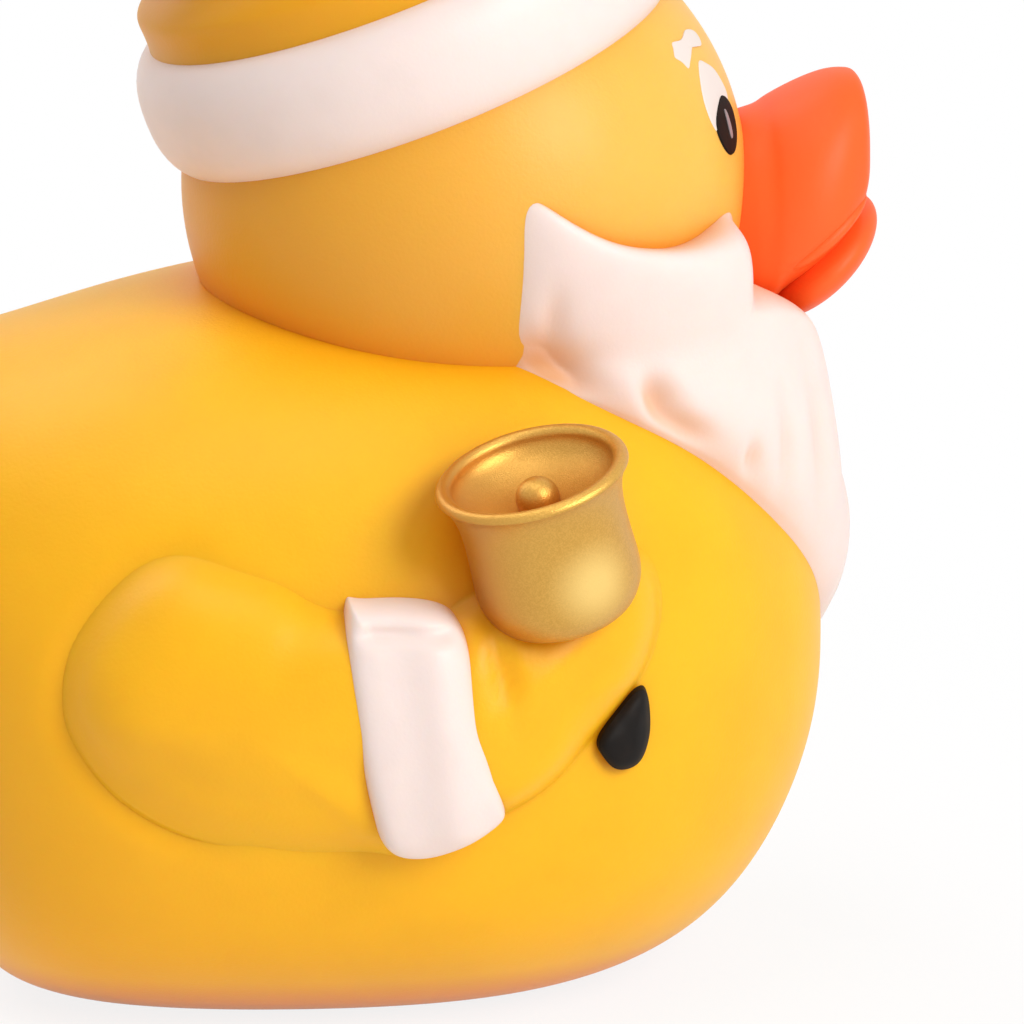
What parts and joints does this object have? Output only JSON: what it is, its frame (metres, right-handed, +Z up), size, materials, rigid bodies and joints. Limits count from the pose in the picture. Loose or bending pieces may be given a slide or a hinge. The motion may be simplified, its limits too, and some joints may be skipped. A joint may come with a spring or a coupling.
{
  "type": "rubber duck",
  "caption": "Hollow vinyl rubber duck with a folded bobble hat, a beard, cuffed wings and a hand bell held mouth up, standing on a flat base.",
  "frame": {"origin": "on the table, under the middle of the flat base", "axes": "+X towards the bill, +Y towards the duck's left side, +Z up"},
  "size_m": [0.091, 0.0816, 0.102],
  "materials": {
    "vinyl": "soft matt yellow vinyl with fine grain",
    "hat_vinyl": "deeper yellow vinyl",
    "head_vinyl": "paler, slightly translucent yellow vinyl",
    "white_paint": "soft matt warm white paint",
    "orange_paint": "matt orange paint",
    "gold_paint": "fine-flaked gold paint",
    "black_paint": "gloss black paint",
    "squeaker": "natural white moulding"
  },
  "bodies": {
    "root": {"duck_shell": "vinyl", "squeaker": "squeaker"}
  },
  "joints": []
}
